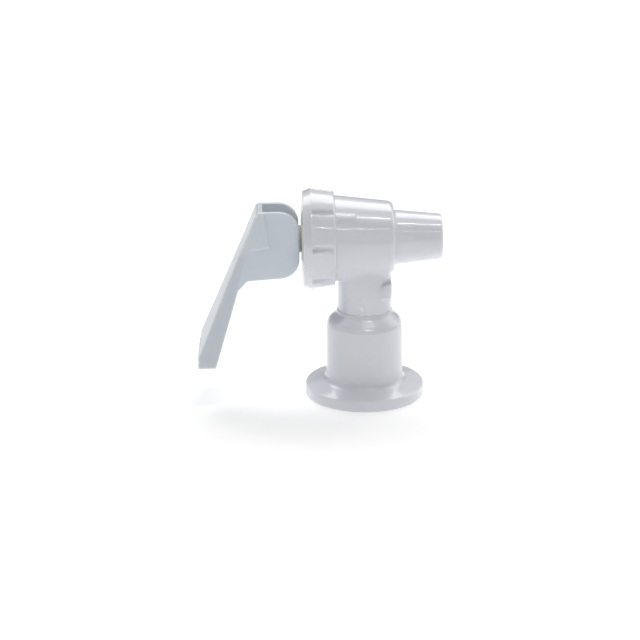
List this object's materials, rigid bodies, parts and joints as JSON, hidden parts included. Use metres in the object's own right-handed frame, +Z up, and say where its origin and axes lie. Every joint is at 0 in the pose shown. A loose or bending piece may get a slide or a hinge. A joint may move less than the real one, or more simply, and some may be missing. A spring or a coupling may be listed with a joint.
{
  "type": "push-lever dispensing tap",
  "caption": "Push-lever tap with a horizontal valve barrel and spout on a vertical neck, standing on a bell-shaped mounting flange.",
  "frame": {"origin": "centre of the mounting flange's underside, on the axis of the neck and of its threaded inlet socket", "axes": "+Z up the neck, +X along the barrel towards the spout; the pivot pin runs along Y and the lever hangs on the -X side"},
  "size_m": [0.0921, 0.045, 0.0801],
  "materials": {
    "white_moulding": "moulded white polypropylene, semi-gloss",
    "lever_moulding": "moulded cool white ABS, semi-gloss",
    "acetal": "natural acetal, slightly waxy",
    "seal_rubber": "black nitrile rubber, matt",
    "silicone": "translucent white silicone, satin",
    "stainless_wire": "drawn stainless wire"
  },
  "bodies": {
    "tap": {"tap_body": "white_moulding", "mounting_bell": "white_moulding", "bonnet": "white_moulding", "bell_retaining_ring": "acetal", "flow_straightener": "acetal", "stem_bush": "acetal", "inlet_washer": "seal_rubber", "closing_spring": "stainless_wire"},
    "seat": {"spring_retainer": "acetal", "seat_cup": "silicone"},
    "stem": {"valve_stem": "acetal", "pivot_pin": "stainless_wire"},
    "lever": {"lever": "lever_moulding"}
  },
  "joints": [
    {"name": "valve_lift", "type": "slide", "parent": "tap", "child": "seat", "axis": [-1, 0, 0], "range_m": [0, 0.003], "deforming": ["closing_spring", "seat_cup"]},
    {"name": "handle_swivel", "type": "hinge", "parent": "seat", "child": "stem", "pos_m": [-0.033, 0, 0.0615], "axis": [1, 0, 0], "continuous": true},
    {"name": "lever_press", "type": "hinge", "parent": "stem", "child": "lever", "pos_m": [-0.033, 0, 0.0615], "axis": [0, -1, 0], "range_deg": [0, 25], "stiffness_Nm_per_rad": 0.058, "springref_deg": -36.67}
  ],
  "couplings": [
    {"joint": "valve_lift", "follows": "lever_press", "m_per_rad": 0.0062}
  ]
}
